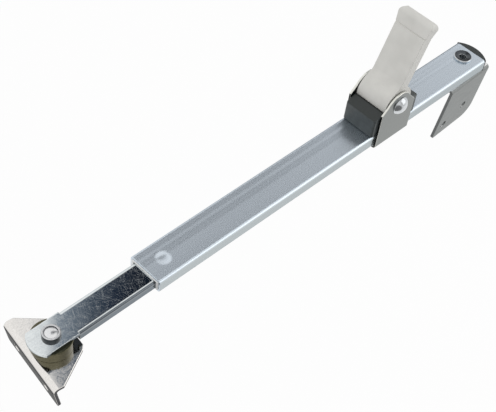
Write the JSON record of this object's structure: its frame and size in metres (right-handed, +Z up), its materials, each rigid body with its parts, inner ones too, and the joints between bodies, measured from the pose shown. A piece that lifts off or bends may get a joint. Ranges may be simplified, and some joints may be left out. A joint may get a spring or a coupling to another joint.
{
  "type": "window restrictor stay",
  "caption": "Telescopic window stay: a bar slides in a folded channel, a cam lever on a yoke brakes it, and a pivoting screw-on bracket ends each arm.",
  "frame": {"origin": "middle of the frame bracket's two screw holes, on the plate's outer face that lies on the window frame", "axes": "+X runs along the arm from the foot bracket to the frame bracket, +Y away from the bracket's screw plate, +Z up out of the channel's top face, the lever's side"},
  "size_m": [0.3155, 0.0425, 0.1049],
  "materials": {
    "frame_bracket": "zinc plated, matte",
    "channel": "roll-formed strip, bright zinc, satin",
    "bar": "cold rolled, bright with fine scratches",
    "yoke": "pressed, satin",
    "foot_bracket": "bright zinc plated",
    "rivets": "bright",
    "black_nylon": "moulded, fine matte",
    "ivory_nylon": "moulded, smooth matte",
    "white_nylon": "moulded",
    "spacer": "turned, yellow passivated zinc",
    "shoe": "cut from bar"
  },
  "bodies": {
    "frame_bracket": {"wall_bracket": "frame_bracket"},
    "arm": {"outer_channel": "channel", "end_cap": "black_nylon", "mouth_guide": "white_nylon", "clamp_yoke": "yoke", "clamp_body": "black_nylon", "lever_pin": "rivets", "wall_rivet": "rivets", "wall_washer": "white_nylon", "wall_tail_washer": "rivets"},
    "lever": {"lever": "ivory_nylon"},
    "brake": {"brake_shoe": "shoe"},
    "bar": {"inner_bar": "bar", "bar_slider": "white_nylon", "foot_rivet": "rivets", "foot_spacer": "spacer", "foot_tail_washer": "rivets"},
    "foot": {"foot_bracket": "foot_bracket"}
  },
  "joints": [
    {"name": "frame_pivot", "type": "hinge", "parent": "frame_bracket", "child": "arm", "pos_m": [0.00421, 0.0073, 0.03563], "axis": [0, 0, 1], "continuous": true},
    {"name": "lever_turn", "type": "hinge", "parent": "arm", "child": "lever", "pos_m": [-0.06739, 0.0073, 0.05003], "axis": [0, 1, 0], "range_deg": [-20, 55]},
    {"name": "shoe_slide", "type": "slide", "parent": "arm", "child": "brake", "axis": [0, 0, 1], "range_m": [-0.001, 0.00036]},
    {"name": "bar_slide", "type": "slide", "parent": "arm", "child": "bar", "axis": [1, 0, 0], "range_m": [-0.1535, 0.0415]},
    {"name": "foot_pivot", "type": "hinge", "parent": "bar", "child": "foot", "pos_m": [-0.28079, 0.0073, 0.02678], "axis": [0, 0, 1], "continuous": true}
  ],
  "couplings": [
    {"joint": "shoe_slide", "follows": "lever_turn", "m_per_rad": -0.0010417}
  ]
}
